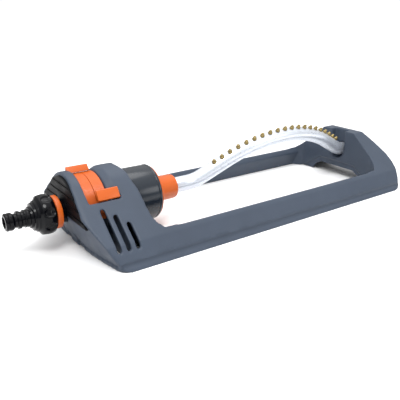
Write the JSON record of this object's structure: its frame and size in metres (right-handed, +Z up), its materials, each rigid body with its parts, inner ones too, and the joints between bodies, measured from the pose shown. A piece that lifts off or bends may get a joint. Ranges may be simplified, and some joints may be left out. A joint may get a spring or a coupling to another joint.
{
  "type": "oscillating lawn sprinkler",
  "caption": "Oscillating lawn sprinkler: moulded sled frame, quick-connect hose inlet, water motor with range rings, and a swinging arched spray tube with nozzles.",
  "frame": {"origin": "on the ground, under the middle of the sprinkler's outline", "axes": "+X along the swing axis from the hose inlet towards the end bracket, +Z up, -Y the side with the front range tab"},
  "size_m": [0.4549, 0.164, 0.082],
  "materials": {
    "frame_plastic": "moulded, fine texture, satin",
    "black_plastic": "moulded, glossy",
    "orange_plastic": "moulded, satin gloss",
    "housing_plastic": "moulded, glossy",
    "tube_metal": "satin anodised",
    "end_plastic": "moulded",
    "brass": "turned, slightly dull",
    "acetal": "moulded, natural",
    "steel": "bright",
    "rubber": "moulded"
  },
  "bodies": {
    "base": {"base_frame": "frame_plastic", "louvre_panel": "black_plastic", "inlet_washer": "rubber", "inlet_filter": "acetal", "inlet_tube": "black_plastic", "inlet_ring": "orange_plastic", "retaining_clip": "steel", "fixed_gear": "acetal", "bracket_bush": "orange_plastic"},
    "connector": {"tap_connector": "black_plastic"},
    "rear_ring": {"rear_range_ring": "orange_plastic"},
    "front_ring": {"front_range_ring": "orange_plastic"},
    "swing": {"motor_housing": "housing_plastic", "motor_cap": "black_plastic", "cap_screws": "steel", "swing_seal": "rubber", "gear_plate": "acetal", "gear_pin_1": "steel", "gear_pin_2": "steel", "jet_plate": "acetal", "shaft_spider": "acetal", "trip_spring": "steel", "output_collar": "orange_plastic", "tube_seal": "rubber", "spray_tube": "tube_metal", "spray_nozzles": "brass", "end_plug": "end_plastic"},
    "first_wheel": {"gear_1": "acetal"},
    "second_wheel": {"gear_2": "acetal"},
    "turbine": {"turbine_pinion": "acetal", "turbine_wheel": "acetal", "turbine_shaft": "steel"},
    "lever": {"trip_lever": "black_plastic"}
  },
  "joints": [
    {"name": "tube_swing", "type": "hinge", "parent": "base", "child": "swing", "pos_m": [-0.028, 0, 0.0345], "axis": [1, 0, 0], "range_deg": [-30, 25]},
    {"name": "connector_turn", "type": "hinge", "parent": "base", "child": "connector", "pos_m": [-0.208, 0, 0.0345], "axis": [1, 0, 0], "continuous": true},
    {"name": "rear_ring_turn", "type": "hinge", "parent": "base", "child": "rear_ring", "pos_m": [-0.163, 0, 0.0345], "axis": [1, 0, 0], "range_deg": [-43, 18]},
    {"name": "front_ring_turn", "type": "hinge", "parent": "base", "child": "front_ring", "pos_m": [-0.151, 0, 0.0345], "axis": [1, 0, 0], "range_deg": [-20, 0]},
    {"name": "gear_1_turn", "type": "hinge", "parent": "swing", "child": "first_wheel", "pos_m": [-0.133, 0.00566, 0.02083], "axis": [1, 0, 0], "continuous": true},
    {"name": "gear_2_turn", "type": "hinge", "parent": "swing", "child": "second_wheel", "pos_m": [-0.13, 0.01156, 0.03128], "axis": [1, 0, 0], "continuous": true},
    {"name": "turbine_turn", "type": "hinge", "parent": "swing", "child": "turbine", "pos_m": [-0.118, 0, 0.0345], "axis": [1, 0, 0], "continuous": true},
    {"name": "trip_lever_turn", "type": "hinge", "parent": "swing", "child": "lever", "pos_m": [-0.143, -0.00593, 0.04882], "axis": [1, 0, 0], "range_deg": [0, 20]}
  ],
  "couplings": [
    {"joint": "gear_1_turn", "follows": "tube_swing", "ratio": 3.1111},
    {"joint": "gear_2_turn", "follows": "tube_swing", "ratio": -7.2593},
    {"joint": "turbine_turn", "follows": "tube_swing", "ratio": 16.938}
  ]
}
